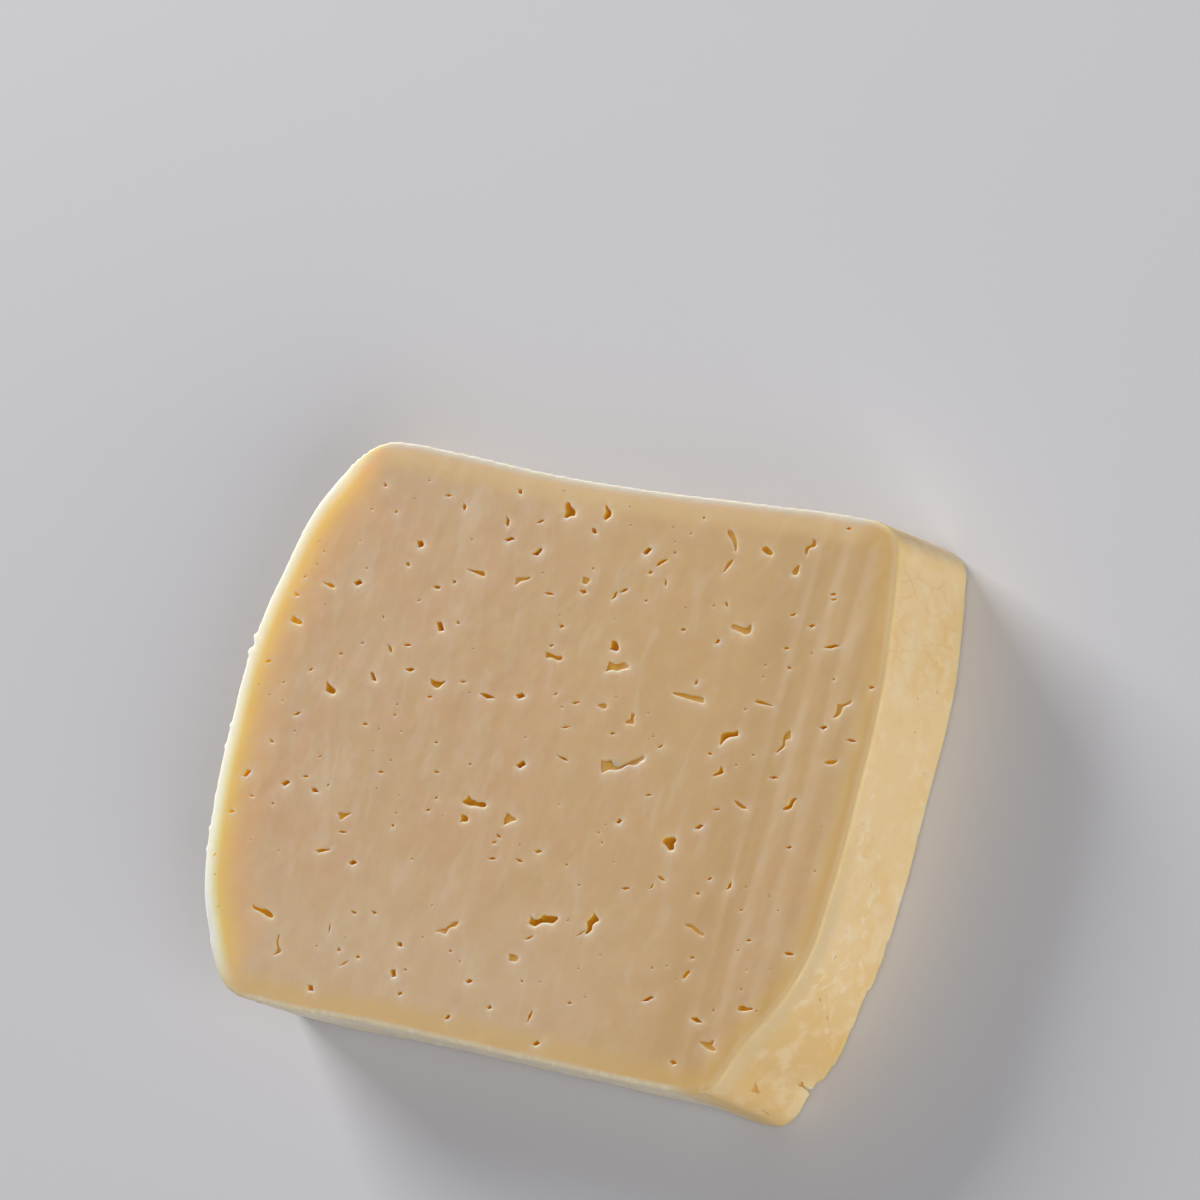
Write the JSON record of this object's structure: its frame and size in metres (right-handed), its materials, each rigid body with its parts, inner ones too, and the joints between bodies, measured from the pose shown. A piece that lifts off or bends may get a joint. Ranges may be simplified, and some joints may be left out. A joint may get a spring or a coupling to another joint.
{
  "type": "cheese slice",
  "caption": "Thick slice of a semi-hard loaf cheese with slit eyes and a thin waxy rind, lying on its back cut.",
  "frame": {"origin": "under the middle of the slice, on the surface that its back cut lies on", "axes": "+X along the slice's width, +Y towards the loaf's top, +Z out of the front cut, upwards"},
  "size_m": [0.1466, 0.1064, 0.0195],
  "materials": {
    "cheese": "pale waxy cheese with a satin sheen, slightly translucent at the edges"
  },
  "bodies": {
    "root": {"cheese_slice": "cheese"}
  },
  "joints": []
}
